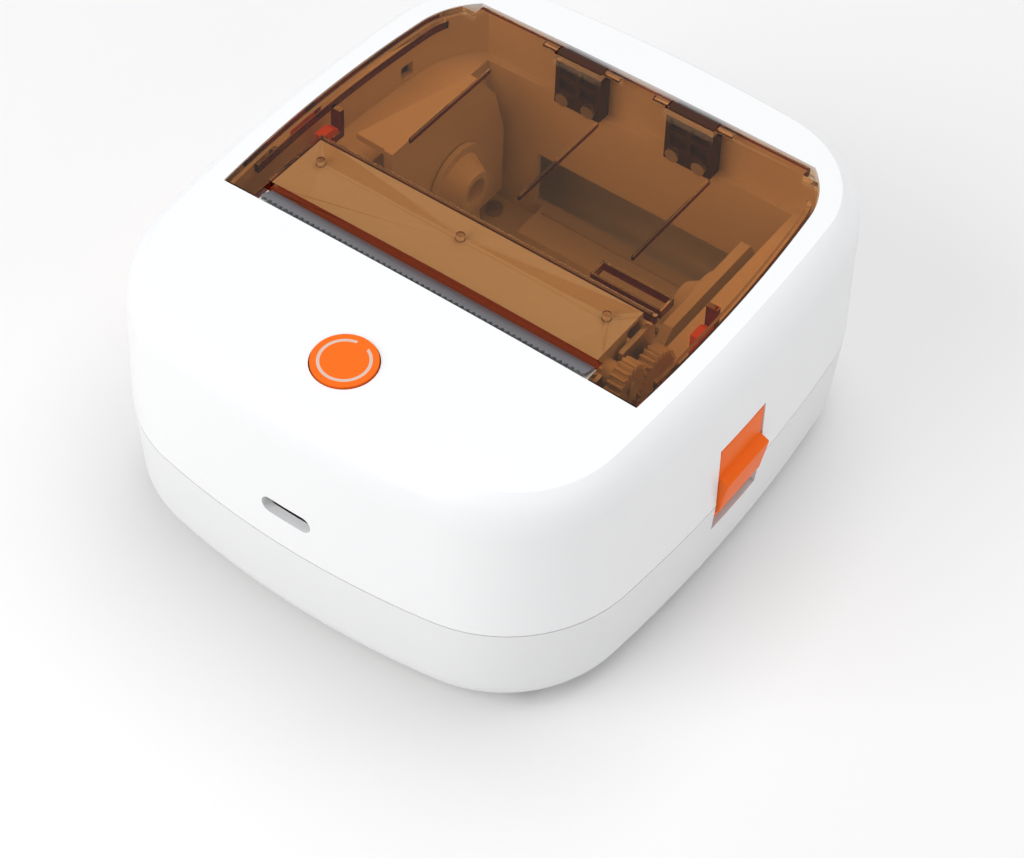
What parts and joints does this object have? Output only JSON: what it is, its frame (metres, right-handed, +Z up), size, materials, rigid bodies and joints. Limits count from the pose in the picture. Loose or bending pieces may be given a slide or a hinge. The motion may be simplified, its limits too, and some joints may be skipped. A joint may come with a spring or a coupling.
{
  "type": "thermal label printer",
  "caption": "Desktop thermal label printer: white rounded clamshell case, amber see-through lid with platen roller, orange power button and side release levers.",
  "frame": {"origin": "centre of the case's footprint, at the level the rubber feet stand on", "axes": "+X to the printer's right seen from the front, +Y to the back, +Z up; the button and the charging port are at the front, -Y"},
  "size_m": [0.142, 0.15, 0.07],
  "materials": {
    "case_plastic": "satin white moulded plastic",
    "base_plastic": "satin light grey-white moulded plastic",
    "foot_rubber": "soft matt pad",
    "screw_steel": "zinc plated",
    "amber_window": "clear amber, polished",
    "bay_plastic": "pale grey moulded plastic",
    "black_plastic": "black moulded plastic",
    "frame_steel": "bright sheet steel",
    "carrier_paint": "pale painted sheet steel",
    "spring_steel": "drawn wire",
    "motor_case": "zinc plated can",
    "head_ceramic": "glazed ceramic strip",
    "sink_aluminium": "milled",
    "platen_black": "ground rubber",
    "gear_plastic": "natural acetal",
    "guide_plastic": "off-white moulded plastic",
    "orange_plastic": "bright orange moulded plastic",
    "light_ring": "milky light guide",
    "board_green": "solder mask",
    "chip_black": "moulded packages",
    "cell_wrap": "shrink wrap",
    "wire_red": "insulated wire",
    "ribbon_film": "flat film cable"
  },
  "bodies": {
    "case": {"upper_shell": "case_plastic", "base_shell": "base_plastic", "rubber_feet": "foot_rubber", "case_screws": "screw_steel", "chassis_screws": "screw_steel", "roll_bay": "bay_plastic", "hinge_bracket_left": "black_plastic", "hinge_bracket_right": "black_plastic", "hinge_pins": "frame_steel", "hinge_screws": "screw_steel", "mechanism_frame": "frame_steel", "gear_axles": "frame_steel", "stepper_motor": "motor_case", "head_pivot_pin": "frame_steel", "head_springs": "spring_steel", "tear_bar": "frame_steel", "paper_chute": "bay_plastic", "gap_sensor": "black_plastic", "latch_pins": "frame_steel", "lever_spring_left": "spring_steel", "lever_spring_right": "spring_steel", "button_board": "board_green", "tactile_switch": "black_plastic", "main_board": "board_green", "board_components": "chip_black", "charging_socket": "frame_steel", "battery_cells": "cell_wrap", "battery_tray": "black_plastic", "motor_lead": "wire_red", "battery_lead": "wire_red", "head_ribbon": "ribbon_film"},
    "lid": {"lid_window": "amber_window", "platen_carrier": "carrier_paint", "carrier_screws": "screw_steel", "platen_bushings": "gear_plastic"},
    "platen": {"platen_shaft": "frame_steel", "platen_rubber": "platen_black", "platen_gear": "gear_plastic"},
    "small_idler": {"idler_gear_small": "gear_plastic"},
    "large_idler": {"idler_gear_large": "gear_plastic"},
    "motor_rotor": {"motor_shaft": "frame_steel", "motor_pinion": "gear_plastic"},
    "head": {"print_head": "head_ceramic", "head_heatsink": "sink_aluminium"},
    "guide_right": {"roll_guide_right": "guide_plastic"},
    "guide_left": {"roll_guide_left": "guide_plastic"},
    "hub_right": {"roll_hub_right": "guide_plastic"},
    "hub_left": {"roll_hub_left": "guide_plastic"},
    "pinion": {"guide_pinion": "gear_plastic"},
    "hook_right": {"latch_hook_right": "orange_plastic"},
    "hook_left": {"latch_hook_left": "orange_plastic"},
    "lever_right": {"release_lever_right": "orange_plastic"},
    "lever_left": {"release_lever_left": "orange_plastic"},
    "button": {"power_button": "orange_plastic", "button_light_ring": "light_ring"}
  },
  "joints": [
    {"name": "lid_hinge", "type": "hinge", "parent": "case", "child": "lid", "pos_m": [0, 0.0546, 0.0674], "axis": [-1, 0, 0], "range_deg": [0, 85]},
    {"name": "platen_spin", "type": "hinge", "parent": "lid", "child": "platen", "pos_m": [0, -0.0172, 0.0602], "axis": [1, 0, 0], "continuous": true},
    {"name": "small_idler_spin", "type": "hinge", "parent": "case", "child": "small_idler", "pos_m": [0, -0.0073, 0.05342], "axis": [1, 0, 0], "continuous": true},
    {"name": "large_idler_spin", "type": "hinge", "parent": "case", "child": "large_idler", "pos_m": [0, -0.01409, 0.03729], "axis": [1, 0, 0], "continuous": true},
    {"name": "motor_spin", "type": "hinge", "parent": "case", "child": "motor_rotor", "pos_m": [0, -0.0146, 0.0223], "axis": [1, 0, 0], "continuous": true},
    {"name": "head_tilt", "type": "hinge", "parent": "case", "child": "head", "pos_m": [0, -0.0244, 0.0425], "axis": [1, 0, 0], "range_deg": [0, 2.2], "stiffness_Nm_per_rad": 1.2, "springref_deg": -4.58},
    {"name": "guide_right_slide", "type": "slide", "parent": "case", "child": "guide_right", "axis": [1, 0, 0], "range_m": [-0.018, 0.003]},
    {"name": "guide_left_slide", "type": "slide", "parent": "case", "child": "guide_left", "axis": [1, 0, 0], "range_m": [-0.003, 0.018]},
    {"name": "guide_pinion_spin", "type": "hinge", "parent": "case", "child": "pinion", "pos_m": [0, 0.0315, 0.006], "axis": [0, 0, 1], "range_deg": [-28, 163]},
    {"name": "hub_right_spin", "type": "hinge", "parent": "guide_right", "child": "hub_right", "pos_m": [0.032, 0.032, 0.034], "axis": [1, 0, 0], "continuous": true},
    {"name": "hub_left_spin", "type": "hinge", "parent": "guide_left", "child": "hub_left", "pos_m": [-0.032, 0.032, 0.034], "axis": [1, 0, 0], "continuous": true},
    {"name": "lever_right_press", "type": "slide", "parent": "case", "child": "lever_right", "axis": [0, 0, -1], "range_m": [0, 0.0035], "stiffness_N_per_m": 350, "springref_m": -0.004, "deforming": ["lever_spring_right"]},
    {"name": "lever_left_press", "type": "slide", "parent": "case", "child": "lever_left", "axis": [0, 0, -1], "range_m": [0, 0.0035], "stiffness_N_per_m": 350, "springref_m": -0.004, "deforming": ["lever_spring_left"]},
    {"name": "hook_right_swing", "type": "hinge", "parent": "case", "child": "hook_right", "pos_m": [0.0512, 0.0025, 0.046], "axis": [1, 0, 0], "range_deg": [0, 22]},
    {"name": "hook_left_swing", "type": "hinge", "parent": "case", "child": "hook_left", "pos_m": [-0.0512, 0.0025, 0.046], "axis": [1, 0, 0], "range_deg": [0, 22]},
    {"name": "button_press", "type": "slide", "parent": "case", "child": "button", "axis": [0, 0, -1], "range_m": [0, 0.0008], "stiffness_N_per_m": 800, "springref_m": -0.0008}
  ],
  "couplings": [
    {"joint": "small_idler_spin", "follows": "platen_spin", "ratio": -0.71429},
    {"joint": "large_idler_spin", "follows": "platen_spin", "ratio": 0.47619},
    {"joint": "motor_spin", "follows": "platen_spin", "ratio": -1.1111},
    {"joint": "guide_left_slide", "follows": "guide_right_slide", "ratio": -1},
    {"joint": "guide_pinion_spin", "follows": "guide_right_slide", "rad_per_m": -156.25},
    {"joint": "hook_right_swing", "follows": "lever_right_press", "rad_per_m": 109.69},
    {"joint": "hook_left_swing", "follows": "lever_left_press", "rad_per_m": 109.69}
  ]
}
